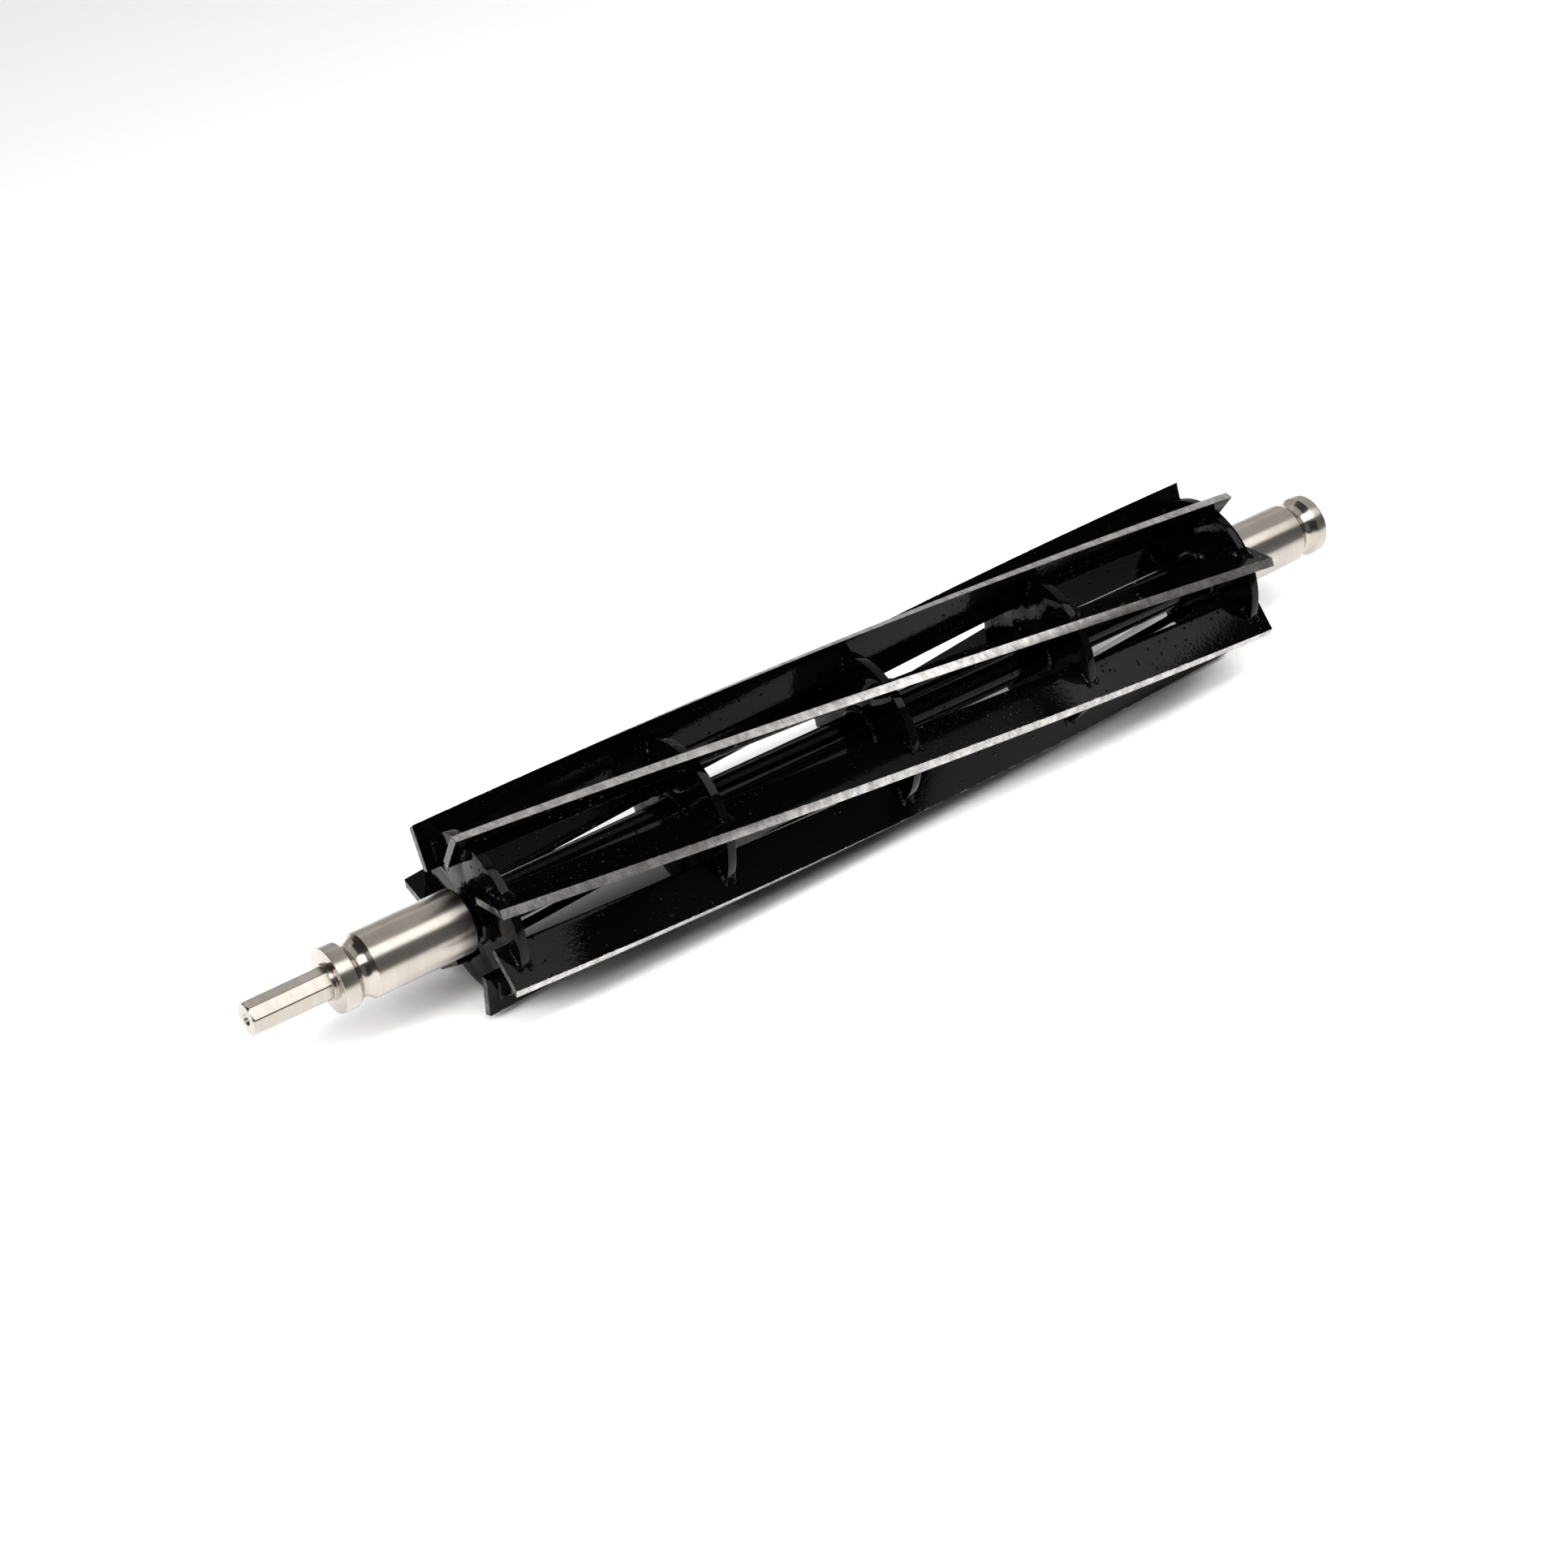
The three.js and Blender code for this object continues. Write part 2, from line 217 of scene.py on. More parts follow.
class Finish:
    """A node material built round one Principled shader."""

    def __init__(self, name):
        self.material = bpy.data.materials.new(name)
        self.material.use_nodes = True
        self.tree = self.material.node_tree
        self.shader = next(n for n in self.tree.nodes if n.type == "BSDF_PRINCIPLED")
        self.coordinates = self.add("ShaderNodeTexCoord")

    def add(self, kind, **settings):
        node = self.tree.nodes.new(kind)
        for key, value in settings.items():
            setattr(node, key, value)
        return node

    def join(self, output, socket):
        self.tree.links.new(output, socket)
        return output

    def set(self, **values):
        for key, value in values.items():
            self.shader.inputs[key.replace("_", " ")].default_value = value

    def mapped(self, point, key, values):
        """The point after one step of a mapping: its Scale or its Rotation."""
        node = self.add("ShaderNodeMapping")
        node.inputs[key].default_value = values
        self.join(point, node.inputs["Vector"])
        return node.outputs["Vector"]

    def object_point(self, scale=(1.0, 1.0, 1.0)):
        """The place in the piece's own space, each axis times a scale."""
        return self.mapped(self.coordinates.outputs["Object"], "Scale", scale)

    def surface_point(self, scale, slant=0.0):
        """The place on the surface, along the piece and then round it, turned by the slant
        before each axis is scaled."""
        point = self.add("ShaderNodeUVMap", uv_map="surface").outputs["UV"]
        if slant:
            point = self.mapped(point, "Rotation", (0.0, 0.0, slant))
        return self.mapped(point, "Scale", scale)

    def noise(self, point, scale, detail=2.0, roughness=0.5):
        node = self.add("ShaderNodeTexNoise")
        node.inputs["Scale"].default_value = scale
        node.inputs["Detail"].default_value = detail
        node.inputs["Roughness"].default_value = roughness
        self.join(point, node.inputs["Vector"])
        return node.outputs["Fac"]

    def spots(self, point, scale, core, edge):
        """Round spots, one in each cell: 1 within core of a cell's centre, 0 past edge."""
        node = self.add("ShaderNodeTexVoronoi")
        node.inputs["Scale"].default_value = scale
        self.join(point, node.inputs["Vector"])
        return self.ramp(node.outputs["Distance"], core, edge, 1.0, 0.0)

    def ramp(self, value, low, high, out_low=0.0, out_high=1.0):
        """A smooth step from out_low, where value is low, to out_high, where it is high."""
        node = self.add("ShaderNodeMapRange", clamp=True, interpolation_type="SMOOTHSTEP")
        self.join(value, node.inputs["Value"])
        ends = {"From Min": low, "From Max": high, "To Min": out_low, "To Max": out_high}
        for key, number in ends.items():
            node.inputs[key].default_value = number
        return node.outputs["Result"]

    def maths(self, operation, a, b):
        node = self.add("ShaderNodeMath", operation=operation)
        for socket, value in zip(node.inputs, (a, b)):
            if isinstance(value, (int, float)):
                socket.default_value = value
            else:
                self.join(value, socket)
        return node.outputs[0]

    def weighted(self, *parts):
        """Sum of outputs, each times its weight."""
        total = 0.0
        for output, weight in parts:
            total = self.maths("ADD", self.maths("MULTIPLY", output, weight), total)
        return total

    def blend(self, factor, a, b):
        """Colour a where factor is 0, and b where it is 1."""
        node = self.add("ShaderNodeMix", data_type="RGBA")
        self.join(factor, node.inputs["Factor"])
        for socket, value in ((node.inputs[6], a), (node.inputs[7], b)):
            if isinstance(value, tuple):
                socket.default_value = (*value, 1.0)
            else:
                self.join(value, socket)
        return node.outputs[2]

    def bump(self, height, strength, distance, under=None):
        node = self.add("ShaderNodeBump")
        node.inputs["Strength"].default_value = strength
        node.inputs["Distance"].default_value = distance
        self.join(height, node.inputs["Height"])
        if under is not None:
            self.join(under, node.inputs["Normal"])
        return node.outputs["Normal"]

    def wear(self, socket, output):
        self.join(output, self.shader.inputs[socket])


def black_enamel(name, orange_peel=0.25, gloss=0.18):
    """Glossy black paint: a fine orange peel, patches of pimples, pale dust where it faces
    up and, beside the ground edges, chips that show the steel."""
    f = Finish(name)
    f.set(Roughness=0.1, IOR=1.47, Specular_IOR_Level=gloss)
    place = f.object_point()
    peel = f.noise(place, 420.0, 2.0, 0.5)
    patch = f.ramp(f.noise(place, 24.0, 3.0), 0.47, 0.6)
    pimples = f.maths("MULTIPLY", f.spots(place, 170.0, 0.06, 0.2), patch)
    normal = f.bump(peel, orange_peel, 0.0002)
    normal = f.bump(pimples, 0.8, 0.0009, normal)
    # distance from the axis, for the chips along the ground edges
    apart = f.add("ShaderNodeSeparateXYZ")
    f.join(f.coordinates.outputs["Object"], apart.inputs[0])
    y_squared = f.maths("MULTIPLY", apart.outputs["Y"], apart.outputs["Y"])
    z_squared = f.maths("MULTIPLY", apart.outputs["Z"], apart.outputs["Z"])
    radius = f.maths("SQRT", f.maths("ADD", y_squared, z_squared), 0.0)
    ragged = f.ramp(f.noise(place, 260.0, 4.0, 0.65), 0.3, 0.75, -0.0004, 0.0005)
    bare = f.ramp(f.maths("ADD", radius, ragged), REEL_RADIUS - 0.0001, REEL_RADIUS + 0.00012)
    dust = f.ramp(f.noise(place, 760.0, 2.0, 0.6), 0.69, 0.76)
    dusty = f.maths("MULTIPLY", dust, f.ramp(f.noise(place, 18.0, 2.0), 0.48, 0.66))
    facing = f.add("ShaderNodeSeparateXYZ")
    geometry = f.add("ShaderNodeNewGeometry")
    f.join(geometry.outputs["Normal"], facing.inputs[0])
    upward = f.ramp(facing.outputs["Z"], 0.1, 0.8)
    film = f.maths("MULTIPLY", dusty, upward)
    black, grey_dust, bare_steel = (0.0014, 0.0014, 0.0017), (0.22, 0.21, 0.2), (0.42, 0.41, 0.39)
    colour = f.blend(bare, f.blend(film, black, grey_dust), bare_steel)
    f.wear("Base Color", colour)
    f.wear("Metallic", bare)
    smear = f.ramp(f.noise(place, 34.0, 4.0, 0.6), 0.35, 0.75, 0.05, 0.13)
    f.wear("Roughness", f.maths("ADD", smear, f.maths("MULTIPLY", bare, 0.3)))
    f.wear("Normal", normal)
    return f.material


def blade_end_paint():
    """The blades' sawn end faces: thin satin paint that shows the saw's lines, rubbed
    through to dull steel in places."""
    f = Finish("thin_paint_on_sawn_ends")
    f.set(IOR=1.5)
    place = f.object_point()
    saw = f.noise(f.object_point((0.3, 1.0, 0.3)), 1500.0, 2.0, 0.6)
    patchy = f.noise(place, 190.0, 4.0, 0.6)
    rubbed = f.ramp(patchy, 0.52, 0.66)
    paint, dull_steel = (0.02, 0.02, 0.02), (0.16, 0.15, 0.135)
    f.wear("Base Color", f.blend(rubbed, paint, dull_steel))
    f.wear("Metallic", f.maths("MULTIPLY", rubbed, 0.5))
    f.wear("Roughness", f.ramp(patchy, 0.3, 0.7, 0.22, 0.4))
    f.wear("Normal", f.bump(saw, 0.3, 0.0001))
    return f.material


def ground_edge():
    """Bare steel ground across the blade's edge: fine lines slanting across it, wandering
    dull and bright bands along it, and small dark pits."""
    f = Finish("ground_steel_edge")
    f.set(Metallic=1.0, Anisotropic=0.6)
    place = f.object_point()
    lines = f.noise(f.surface_point((1.0, 0.07, 1.0), slant=0.35), 1300.0, 3.0, 0.75)
    bands = f.noise(f.surface_point((1.0, 0.2, 1.0)), 110.0, 4.0, 0.6)
    mottle = f.noise(place, 320.0, 4.0, 0.65)
    tone = f.weighted((lines, 0.4), (bands, 0.35), (mottle, 0.25))
    dull, bright, pitted = (0.24, 0.235, 0.23), (0.64, 0.625, 0.6), (0.08, 0.075, 0.07)
    colour = f.blend(f.ramp(tone, 0.36, 0.64), dull, bright)
    patch = f.ramp(f.noise(place, 90.0, 2.0), 0.55, 0.68)
    pits = f.maths("MULTIPLY", f.spots(place, 420.0, 0.06, 0.14), patch)
    f.wear("Base Color", f.blend(pits, colour, pitted))
    f.wear("Roughness", f.ramp(tone, 0.3, 0.7, 0.42, 0.3))
    f.wear("Normal", f.bump(lines, 0.35, 0.00014))
    return f.material


def turned_steel(name, dull, grain, tone):
    """Steel fresh from the lathe: hair-fine grain that runs round the axis, faint bands where
    the tool and the polishing cloth passed, a few pits and soft smudges. dull is the mean
    roughness and grain the strength of the grain's bump."""
    f = Finish(name)
    f.set(Metallic=1.0, Anisotropic=0.6)
    place = f.object_point()
    fine = f.noise(f.surface_point((1.0, 0.015, 1.0)), 2600.0, 3.0, 0.7)
    bands = f.noise(f.surface_point((1.0, 0.04, 1.0)), 260.0, 3.0, 0.6)
    smudge = f.noise(place, 55.0, 4.0, 0.6)
    mixed = f.weighted((fine, 0.3), (bands, 0.3), (smudge, 0.4))
    low = tuple(0.9 * c for c in tone)
    colour = f.blend(f.ramp(mixed, 0.38, 0.62), low, tone)
    patch = f.ramp(f.noise(place, 75.0, 2.0), 0.62, 0.68)
    pits = f.maths("MULTIPLY", f.spots(place, 330.0, 0.05, 0.13), patch)
    f.wear("Base Color", f.blend(pits, colour, tuple(0.55 * c for c in tone)))
    f.wear("Roughness", f.ramp(mixed, 0.35, 0.65, dull + 0.025, dull - 0.025))
    f.wear("Normal", f.bump(pits, -0.15, 0.0002, f.bump(fine, grain, 0.00005)))
    tangent = f.add("ShaderNodeTangent", direction_type="UV_MAP", uv_map="surface")
    f.wear("Tangent", tangent.outputs["Tangent"])
    return f.material


STEEL = (0.478, 0.440, 0.396)
ENAMEL = black_enamel("glossy_black_enamel")
THICK_ENAMEL = black_enamel("thick_black_enamel_on_welds_and_rims", 0.1, 0.25)
END_PAINT = blade_end_paint()
GROUND = ground_edge()
TURNED = turned_steel("turned_steel_journal", 0.3, 0.05, STEEL)
POLISHED = turned_steel("turned_steel_groove", 0.2, 0.02, STEEL)
MILLED = turned_steel("milled_steel_flats", 0.24, 0.04, tuple(0.93 * c for c in STEEL))


# ---- Shaft and stubs ----


def revolve(profile, sides, start=0.0):
    """Rings about X: ring i stands at x[i] with radius[i], its points evenly spaced from the
    start angle."""
    angle = start + 2 * np.pi * np.arange(sides) / sides
    x, radius = profile[:, 0][:, None], profile[:, 1][:, None]
    return np.stack(np.broadcast_arrays(x, radius * np.cos(angle), radius * np.sin(angle)), -1)


def make_shaft():
    """Bar of nearly constant radius: the paint on it swells and sags by hundredths of a
    millimetre in slow waves along and round it."""
    sides = 96
    paint_sag = 0.00004
    x = np.linspace(-SHAFT_END, SHAFT_END, 260)
    rings = revolve(np.stack([x, np.full_like(x, SHAFT_RADIUS)], -1), sides)
    angle = 2 * np.pi * np.arange(sides) / sides
    sag = paint_sag * waves(x, 11, 0.07)[:, None] * np.cos(angle - 1.0)[None, :]
    swell = 1 + sag / SHAFT_RADIUS
    rings[..., 1] *= swell
    rings[..., 2] *= swell
    piece = lay_mesh("shaft", *skin(rings), [ENAMEL], node=["centre_shaft"])


def journal_profile(groove_width, collar_width):
    """Socket, journal, groove and collar for the end at +X, as (x, radius, ease). The groove
    has two straight sloping walls that run into a round bottom."""
    lip_ease = 0.00012
    wall_run = groove_width / 2 - GROOVE_ROUND * np.sin(GROOVE_WALL)
    wall_foot = JOURNAL_RADIUS - wall_run * np.tan(GROOVE_WALL)
    swing = np.linspace(-GROOVE_WALL, GROOVE_WALL, 17)
    bottom_x = JOURNAL_END + groove_width / 2 + GROOVE_ROUND * np.sin(swing)
    bottom_radius = wall_foot + GROOVE_ROUND * (np.cos(GROOVE_WALL) - np.cos(swing))
    socket_end = JOURNAL_SHOULDER + SOCKET_DEPTH
    return [
        (socket_end, 0.001),
        (socket_end, SOCKET_RADIUS),
        (JOURNAL_SHOULDER, SOCKET_RADIUS, 0.0004),
        (JOURNAL_SHOULDER, JOURNAL_RADIUS, 0.0017),
        (JOURNAL_END, JOURNAL_RADIUS, lip_ease),
        *zip(bottom_x, bottom_radius),
        (JOURNAL_END + groove_width, JOURNAL_RADIUS, lip_ease),
        (JOURNAL_END + groove_width + collar_width, JOURNAL_RADIUS, 0.00045),
    ]


def centre_hole(end):
    """Drilled centre, from the end face in: a 60 degree cone, then a pilot with a pointed
    bottom."""
    pilot = 0.0015
    cone = 0.0042
    return [
        (end, CENTRE_RADIUS, 0.0002),
        (end - cone, pilot),
        (end - cone - 0.003, pilot),
        (end - cone - 0.0038, 0.0001),
    ]


def finish_by_place(rings, faces, polished, milled=None):
    """0 for journal steel, 1 for faces in the groove or on the collar's outer face, and 2
    within the milled range."""
    n, m = rings.shape[:2]
    x = np.abs(rings[:, 0, 0])
    radius = np.hypot(rings[..., 1], rings[..., 2]).mean(axis=1)
    middle = (x[1:] + x[:-1]) / 2
    row = np.zeros(n - 1, int)
    slack = 1e-5
    in_groove = (middle > polished[0] - slack) & (middle < polished[1] + slack)
    row[in_groove & (radius[1:] > SOCKET_RADIUS)] = 1
    if milled:
        row[np.abs(middle - DRIVE_COLLAR_END) < slack] = 1
        row[(middle > milled) & (radius[1:] > CENTRE_RADIUS)] = 2
    return np.concatenate([np.repeat(row, m), np.zeros(len(faces) - (n - 1) * m, int)])


def make_plain_stub():
    """The turned profile carried round X, with a centre hole in its end face."""
    end = JOURNAL_END + PLAIN_GROOVE + PLAIN_COLLAR
    rings = revolve(eased(journal_profile(PLAIN_GROOVE, PLAIN_COLLAR) + centre_hole(end)), 160)
    vertices, faces, uv = skin(rings)
    index = finish_by_place(rings, faces, (JOURNAL_END, JOURNAL_END + PLAIN_GROOVE))
    finishes = [TURNED, POLISHED]
    piece = lay_mesh("plain_end_stub", vertices, faces, uv, finishes, index, 20.0, ["plain_stub"])


def make_drive_stub():
    """The turned profile, then flats: past the collar each ring's radius is the smaller of
    an octagon's and a round limit, which shrinks over the last millimetre as the chamfer."""
    corner = DRIVE_APOTHEM / np.cos(np.pi / DRIVE_FLATS)
    worn_corner = corner - 0.00014
    step = 0.0002
    chamfer = 0.0011
    root_end = DRIVE_COLLAR_END + ROOT_LENGTH
    shoulder = eased([
        *journal_profile(DRIVE_GROOVE, DRIVE_COLLAR),
        (DRIVE_COLLAR_END, ROOT_RADIUS, 0.0005),
        (root_end, ROOT_RADIUS, 0.0006),
        (root_end, worn_corner),
    ])
    along = np.linspace(root_end + step, DRIVE_END - chamfer - step, 40)
    shank = np.stack([along, np.full_like(along, worn_corner)], -1)
    tail = eased([
        (DRIVE_END - chamfer, worn_corner),
        (DRIVE_END, corner - 0.001, 0.0002),
        *centre_hole(DRIVE_END),
    ])
    profile = np.concatenate([shoulder, shank, tail])
    flat_from = len(shoulder) - 1
    sides = 240
    rings = revolve(profile, sides, DRIVE_PHASE)
    angle = 2 * np.pi * np.arange(sides) / sides
    pitch = 2 * np.pi / DRIVE_FLATS
    octagon = DRIVE_APOTHEM / np.cos((angle % pitch) - pitch / 2)
    radius = np.broadcast_to(profile[:, 1][:, None], rings.shape[:2]).copy()
    radius[flat_from:] = np.minimum(radius[flat_from:], octagon)
    rings[..., 1] = radius * np.cos(DRIVE_PHASE + angle)
    rings[..., 2] = radius * np.sin(DRIVE_PHASE + angle)
    rings[..., 0] *= -1
    vertices, faces, uv = skin(rings)
    index = finish_by_place(rings, faces, (JOURNAL_END, JOURNAL_END + DRIVE_GROOVE), root_end)
    finishes = [TURNED, POLISHED, MILLED]
    piece = lay_mesh("drive_end_stub", vertices, faces, uv, finishes, index, 20.0, ["drive_stub"])


# ---- Blades ----


def section_frame():
    """Unit vectors of a blade's section, in its radial and tangential axes: along the strip
    towards its edge, and across it."""
    along = np.array([np.cos(BLADE_RAKE), np.sin(BLADE_RAKE)])
    return along, np.array([-along[1], along[0]])


def blade_section(inset=0.0):
    """Outline of a blade's section, with the edge's middle at the reel's radius: a strip with
    rounded inner corners, whose outer face is an arc of the reel's circle. inset draws every
    side inwards. Also gives which points lie on the ground arc."""
    along, across = section_frame()
    tip = np.array([REEL_RADIUS, 0.0])
    half = BLADE_THICKNESS / 2 - inset
    outer = REEL_RADIUS - inset
    depth = BLADE_DEPTH - inset
    rounding = 0.0009

    def on_circle(side):
        start = tip + side * half * across
        b = start @ along
        return start + along * (-b + np.sqrt(b * b - start @ start + outer ** 2))

    low, high = on_circle(-1), on_circle(1)
    turn = np.linspace(np.arctan2(low[1], low[0]), np.arctan2(high[1], high[0]), 9)
    land = outer * np.stack([np.cos(turn), np.sin(turn)], -1)
    quarter = np.linspace(0, np.pi / 2, 6)
    strip = np.linspace(0.0, 1.0, 12)[1:]
    side_end = -(depth - rounding)
    high_side = high + strip[:, None] * (tip + half * across + side_end * along - high)
    low_side = low + strip[::-1][:, None] * (tip - half * across + side_end * along - low)
    bend = (half - rounding) + rounding * np.cos(quarter)
    drop = side_end - rounding * np.sin(quarter)
    high_corner = tip + bend[1:, None] * across + drop[1:, None] * along
    low_corner = tip - bend[::-1][:-1, None] * across + drop[::-1][:-1, None] * along
    outline = np.concatenate([land, high_side, high_corner, low_corner, low_side])
    ground = np.zeros(len(outline), bool)
    ground[: len(land) - 1] = True
    return outline, ground


def make_blade(number):
    """Strip number carried along X and turned with the twist. Its faces ripple by a few
    hundredths of a millimetre, as rolled strip does after it is pulled round and welded."""
    end_ease = 0.0003
    long_ripple, short_ripple = 0.00005, 0.000025
    inner = np.linspace(-BLADE_HALF + end_ease, BLADE_HALF - end_ease, 260)
    x = np.concatenate([[-BLADE_HALF], inner, [BLADE_HALF]])
    full, ground = blade_section()
    small, _ = blade_section(end_ease)
    section = np.repeat(full[None], len(x), 0)
    section[0] = section[-1] = small
    _, across = section_frame()
    depth_share = np.clip((REEL_RADIUS - section[..., 0]) / BLADE_DEPTH, 0, 1)
    ripple = long_ripple * waves(x, 40 + number, 0.16)[:, None] * depth_share
    ripple = ripple + short_ripple * waves(x, 60 + number, 0.05)[:, None] * np.sin(np.pi * depth_share)
    section = section + ripple[..., None] * across
    angle = (blade_turn(x) + number * 2 * np.pi / BLADES)[:, None]
    place_x = np.broadcast_to(x[:, None, None], (*section.shape[:2], 1))
    rings = np.concatenate([place_x, turned(section, angle)], -1)
    vertices, faces, uv = skin(rings)
    n, m = rings.shape[:2]
    body = np.broadcast_to(np.where(ground, 1, 0), (n - 1, m)).ravel()
    index = np.concatenate([body, np.full(2 * m, 2)])
    name = f"blade_strip_{number + 1}"
    finishes = [ENAMEL, GROUND, END_PAINT]
    piece = lay_mesh(name, vertices, faces, uv, finishes, index, 24.0, [f"blade_{number + 1}"])


# ---- Spiders ----


def spider_outline(inset):
    """Outline of a spider: arcs of the rim between slots as wide as a blade and as deep.
    inset draws it inwards. Sector k runs from the bottom of slot k to that of slot k + 1."""
    along, across = section_frame()
    tip = np.array([REEL_RADIUS, 0.0])
    half = BLADE_THICKNESS / 2 + SLOT_GAP + inset
    rim = SPIDER_RADIUS - inset
    bottom = BLADE_DEPTH + SLOT_GAP + inset
    pitch = 2 * np.pi / BLADES
    wall = []
    for side in (1, -1):
        start = tip + side * half * across - bottom * along
        b = start @ along
        end = start + along * (-b + np.sqrt(b * b - start @ start + rim ** 2))
        share = np.linspace(0.0, 1.0, 9)[:, None]
        wall.append(start + share * (end - start))
    leaving, arriving = wall
    arriving = turned(arriving, pitch)
    from_angle = np.arctan2(leaving[-1, 1], leaving[-1, 0])
    to_angle = np.arctan2(arriving[-1, 1], arriving[-1, 0])
    sweep = np.linspace(from_angle, to_angle, 26)[1:-1]
    arc = rim * np.stack([np.cos(sweep), np.sin(sweep)], -1)
    middle = tip - bottom * along
    sector = np.concatenate([middle[None], leaving, arc, arriving[::-1]])
    return turned(sector[None], pitch * np.arange(BLADES)[:, None])


def make_spider(number):
    """Plate carried along X: rows of the outline, drawn in by a quarter round at both faces
    and turned with the blades' twist, and rows of the bore. Each face is one flat polygon
    for each sector."""
    low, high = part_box(f"spider_{number}")
    front, back = low.x, high.x
    ease = 0.0007
    sweep = np.radians([0, 30, 60, 90])
    offsets = [(front + ease * (1 - np.cos(a)), ease * (1 - np.sin(a))) for a in sweep]
    offsets += [(back - ease * (1 - np.cos(a)), ease * (1 - np.sin(a))) for a in sweep[::-1]]
    rows = []
    for x, inset in offsets:
        flat = turned(spider_outline(inset).reshape(-1, 2), blade_turn(x))
        rows.append(np.column_stack([np.full(len(flat), x), flat]))
    outside = np.array(rows)
    per = outside.shape[1] // BLADES
    around = per * BLADES
    bore_steps = 10
    ring = BLADES * bore_steps
    bores = []
    for row in (outside[0], outside[-1]):
        first = np.arctan2(row[0, 2], row[0, 1])
        bores.append(revolve(np.array([[row[0, 0], SHAFT_RADIUS + BORE_GAP]]), ring, first)[0])
    vertices = np.concatenate([outside.reshape(-1, 3), *bores])
    count = len(outside)
    i, j = np.meshgrid(np.arange(count - 1) * around, np.arange(around), indexing="ij")
    next_j = (j + 1) % around
    quads = np.stack([i + j, i + around + j, i + around + next_j, i + next_j], -1)
    faces = quads.reshape(-1, 4).tolist()
    base = count * around
    j = np.arange(ring)
    next_j = (j + 1) % ring
    faces += (base + np.stack([j, next_j, ring + next_j, ring + j], -1)).tolist()
    for end, row in ((0, 0), (1, count - 1)):
        for k in range(BLADES):
            rim = [row * around + (k * per + t) % around for t in range(per + 1)]
            hole = [base + end * ring + (k * bore_steps + t) % ring for t in range(bore_steps, -1, -1)]
            polygon = rim + hole
            faces.append(polygon if end == 0 else polygon[::-1])
    uv = [np.stack([vertices[f][:, 1], vertices[f][:, 2]], -1) for f in faces]
    index = np.zeros(len(faces), int)
    index[: (count - 1) * around] = 1
    piece = lay_mesh(
        f"spider_plate_{number}", vertices, faces, uv, [ENAMEL, THICK_ENAMEL], index, 25.0,
        [f"spider_{number}"],
    )


# ---- Welds ----


def bead(path, radius, sides=14):
    """Tube round a path: at each point a circle square to the path's direction, whose radius
    is given, and which sinks to nothing at both ends as an ellipse does."""
    ahead = np.gradient(path, axis=0)
    ahead /= np.linalg.norm(ahead, axis=1)[:, None]
    share = np.linspace(-1, 1, len(path))
    close = np.sqrt(np.clip(1 - np.abs(share) ** 5, 0.0025, 1))
    askew = np.array([0.31, 0.52, 0.79])  # no path runs this way
    aside = np.cross(ahead, askew)
    aside /= np.linalg.norm(aside, axis=1)[:, None]
    over = np.cross(ahead, aside)
    angle = 2 * np.pi * np.arange(sides) / sides
    spread = (radius * close)[:, None, None]
    cosine, sine = np.cos(angle)[None, :, None], np.sin(angle)[None, :, None]
    return path[:, None] + spread * (aside[:, None] * cosine + over[:, None] * sine)


def place_in_section(points, number):
    """Points given as (x, depth below the edge, offset across the strip) beside blade number,
    moved to the reel's axes."""
    along, across = section_frame()
    flat = np.array([REEL_RADIUS, 0.0]) - points[:, 1:2] * along + points[:, 2:3] * across
    angle = blade_turn(points[:, 0]) + number * 2 * np.pi / BLADES
    return np.column_stack([points[:, 0], turned(flat, angle)])


def make_blade_welds(number):
    """Beads that hold the blades in one spider, one in each corner between a blade's face
    and a spider's face. Each runs from deep in the slot out to the rim. Its radius wanders
    as the welder's hand did, with a puddle where the arc was held, and the puddles are
    largest on the last spider's drive side."""
    low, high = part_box(f"spider_{number}")
    bead_radius = 0.0019
    chance = np.random.RandomState(100 + number)
    stack, faces, uv, base = [], [], [], 0
    rim = REEL_RADIUS - SPIDER_RADIUS
    for blade in range(BLADES):
        for side in (-1, 1):
            for face, out in ((low.x, -1), (high.x, 1)):
                reach = (0.024, 0.029) if out < 0 else (0.016, 0.024)
                inner = chance.uniform(*reach)
                outer = rim + side * 0.0011 + chance.uniform(0.0004, 0.0014)
                share = np.linspace(0, 1, 34)
                seed = 1000 * number + 10 * blade + 2 * (side > 0) + (out > 0)
                stand = BLADE_THICKNESS / 2 - 0.0001 + 0.0003 * waves(share, seed + 7, 0.5)
                x = face + out * (0.0002 + 0.0005 * waves(share, seed + 3, 0.6))
                depth = inner + (outer - inner) * share
                path = np.stack([x, depth, side * stand], -1)
                held = chance.uniform(0.1, 0.9)
                swollen = 0.0016 * chance.uniform(0.0, 1.0) ** 2
                if number == SPIDERS and out < 0:
                    held, swollen = chance.uniform(0.25, 0.7), chance.uniform(0.0012, 0.0022)
                puddle = swollen * np.exp(-((share - held) / 0.12) ** 2)
                wander = 0.0005 * waves(share, seed, 0.45) + 0.00022 * waves(share, seed + 5, 0.11)
                rings = bead(place_in_section(path, blade), bead_radius + wander + puddle)
                bead_vertices, bead_faces, bead_uv = skin(rings)
                stack.append(bead_vertices)
                faces += [[k + base for k in corner] for corner in bead_faces]
                uv += bead_uv
                base += len(bead_vertices)
    vertices = np.concatenate(stack)
    piece = lay_mesh(f"blade_welds_{number}", vertices, faces, uv, [THICK_ENAMEL], None, 60.0)


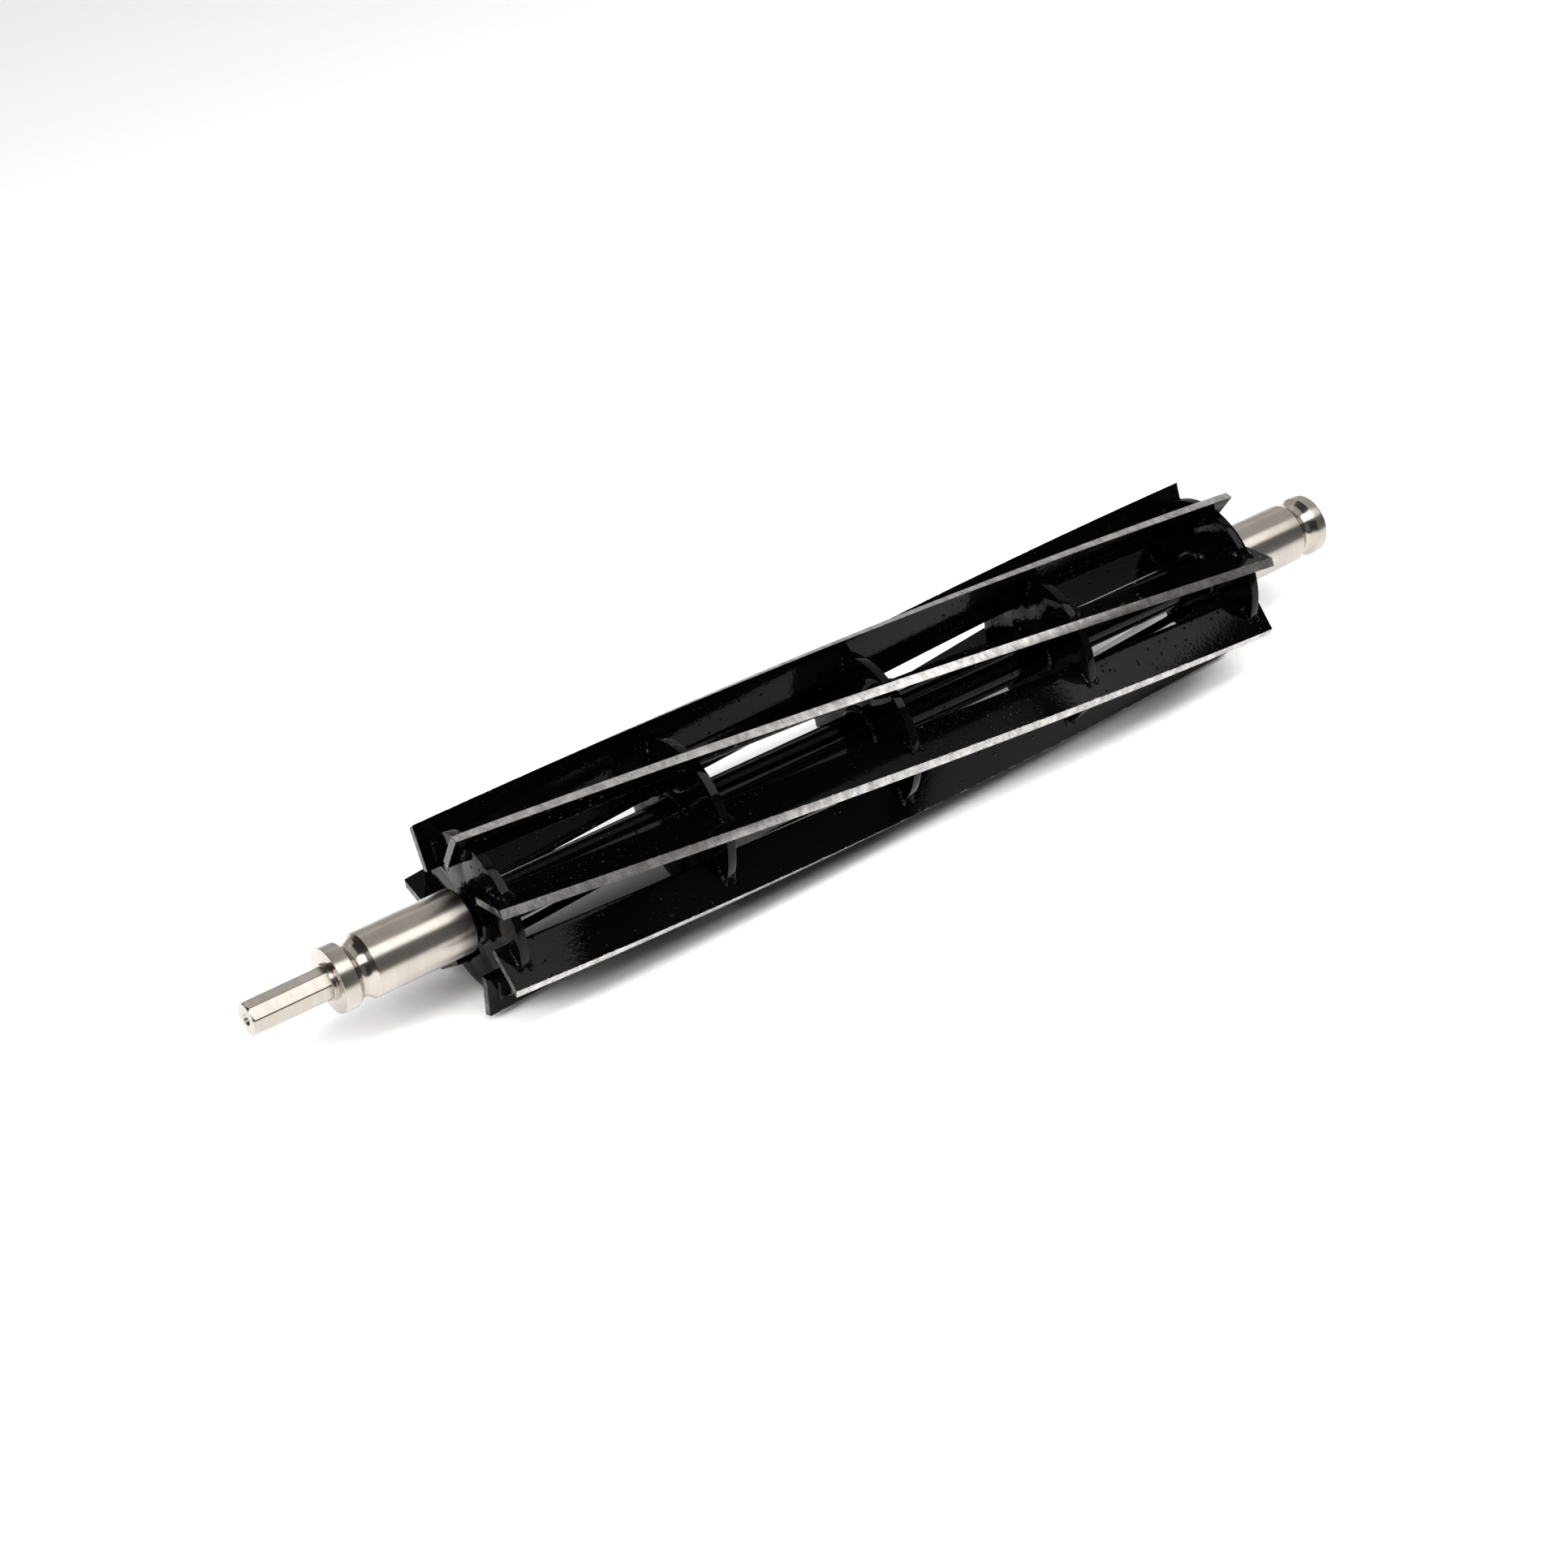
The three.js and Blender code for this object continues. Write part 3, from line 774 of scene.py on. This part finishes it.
def make_shaft_weld(number, side):
    """Bead round the shaft in the corner with a spider's face: a ring of circles, whose
    radius ripples closely and also swells where the welder stopped and started. The last
    spider's drive side has one more swelling, towards +Z."""
    low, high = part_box(f"spider_{number}")
    face = low.x if side < 0 else high.x
    bead_radius = 0.0026
    off_face, off_shaft = 0.0007, 0.0009
    seed = 300 + 2 * number + (side > 0)
    chance = np.random.RandomState(seed)
    turn = 2 * np.pi * np.arange(150) / 150
    round_trip = np.stack([np.cos(turn), np.sin(turn)], -1)
    drift = waves(round_trip[:, 0] + 0.7 * round_trip[:, 1], seed, 0.8)

    def swelling(at, width):
        gap = np.angle(np.exp(1j * (turn - at)))
        return np.exp(-(gap / width) ** 2)

    lumps = np.zeros_like(turn)
    for _ in range(4):
        at = chance.uniform(0, 2 * np.pi)
        lumps += chance.uniform(0.4, 1.0) * swelling(at, 0.16)
    if number == SPIDERS and side < 0:
        lumps += 1.5 * swelling(np.radians(100.0), 0.22)
    stitches = 0.00013 * np.sin(44 * turn + 1.5 * drift)
    radius = bead_radius + 0.0003 * drift + stitches + 0.0013 * lumps
    centre_x = face + side * (off_face + 0.0002 * drift)
    centre_r = SHAFT_RADIUS + off_shaft + 0.0003 * lumps
    angle = 2 * np.pi * np.arange(18) / 18
    x = centre_x[:, None] + radius[:, None] * np.cos(angle)
    r = centre_r[:, None] + radius[:, None] * np.sin(angle)
    rings = np.stack([x, r * np.cos(turn)[:, None], r * np.sin(turn)[:, None]], -1)
    where = "drive" if side < 0 else "plain"
    vertices, faces, uv = skin(rings, joined=True)
    piece = lay_mesh(
        f"shaft_bead_{number}_{where}_side", vertices, faces, uv, [THICK_ENAMEL], None, 60.0,
        [f"shaft_weld_{number}_{where}_side"],
    )


make_shaft()
make_drive_stub()
make_plain_stub()
for n in range(BLADES):
    make_blade(n)
for n in range(1, SPIDERS + 1):
    make_spider(n)
    make_blade_welds(n)
    make_shaft_weld(n, -1)
    make_shaft_weld(n, 1)


# ---- Floor, lights and camera ----


def make_floor():
    """Wide flat sheet of matt white card."""
    reach = 5.0
    side = np.linspace(-reach, reach, 3)
    x, y = np.meshgrid(side, side, indexing="ij")
    vertices = np.stack([x, y, np.full_like(x, FLOOR)], -1).reshape(-1, 3)
    faces = [[0, 3, 4, 1], [1, 4, 5, 2], [3, 6, 7, 4], [4, 7, 8, 5]]
    mesh = bpy.data.meshes.new("floor")
    mesh.from_pydata(vertices.tolist(), [], faces)
    f = Finish("white_card")
    f.set(Base_Color=(0.86, 0.86, 0.86, 1.0), Roughness=0.5, Specular_IOR_Level=0.25)
    mesh.materials.append(f.material)
    floor = bpy.data.objects.new("floor", mesh)
    bpy.context.scene.collection.objects.link(floor)


def make_panel(name, place, aim, size, radiance, glossy=True, diffuse=True):
    """Area light at place, turned to face aim, with the given radiance over its face. With
    glossy off it isn't mirrored in anything, and with diffuse off it only shows mirrored."""
    lamp = bpy.data.lights.new(name, "AREA")
    lamp.shape = "RECTANGLE"
    lamp.size, lamp.size_y = size
    lamp.energy = radiance * np.pi * size[0] * size[1]
    panel = bpy.data.objects.new(name, lamp)
    bpy.context.scene.collection.objects.link(panel)
    back = (Vector(place) - Vector(aim)).normalized()
    right = Vector((1, 0, 0))
    right = (right - back * right.dot(back)).normalized()
    up = back.cross(right)
    turn = Matrix((right, up, back)).transposed()
    panel.matrix_world = Matrix.Translation(place) @ turn.to_4x4()
    panel.visible_glossy = glossy
    panel.visible_diffuse = diffuse
    panel.visible_camera = False


make_floor()
# the long softbox is the main light
make_panel("softbox_overhead", (-0.2, -0.60, 1.52), (-0.2, 0, 0), (4.2, 1.0), 2.1)
# wide dim panels behind, above and in front, which the enamel and the steel mirror
make_panel("backdrop_glow", (1.2, 2.6, 0.9), (1.2, 0, 0.3), (5.0, 1.9), 0.5)
make_panel("canopy_glow", (1.7, 1.2, 1.875), (1.7, 0.5, 0), (3.8, 2.45), 0.55)
make_panel("front_glow", (1.6, -2.3, 1.0), (1.6, 0, 0.4), (3.4, 1.7), 0.16)
# a bright patch in the softbox, seen only as a reflection
make_panel("softbox_middle", (-0.95, -0.60, 1.50), (-0.2, 0, 0), (0.42, 0.3), 14.0, diffuse=False)
# these reach only matt surfaces, which in effect is the floor
make_panel("drive_end_fill", (-1.7, -0.2, 0.8), (-0.42, 0, -0.06), (0.8, 0.8), 15.0, glossy=False)
make_panel("plain_end_fill", (1.7, -0.2, 0.8), (0.42, 0, -0.06), (0.8, 0.8), 9.0, glossy=False)
make_panel("floor_key", (-0.35, -0.52, 1.40), (-0.35, 0, -0.06), (2.6, 0.32), 6.0, glossy=False)

world = bpy.data.worlds.new("studio")
world.use_nodes = True
world.node_tree.nodes["Background"].inputs["Color"].default_value = (0.07, 0.07, 0.073, 1)
world.node_tree.nodes["Background"].inputs["Strength"].default_value = 1.0
bpy.context.scene.world = world

camera_data = bpy.data.cameras.new("camera")
camera_data.lens = 72.07
camera_data.sensor_width = 36.0
camera = bpy.data.objects.new("camera", camera_data)
camera.location = (-1.0201, -1.2510, 1.2244)
camera.rotation_euler = np.radians([51.83, 0.0, -37.37])
bpy.context.scene.collection.objects.link(camera)
bpy.context.scene.camera = camera

bpy.context.scene.view_settings.view_transform = "Standard"
bpy.context.scene.view_settings.look = "Medium High Contrast"
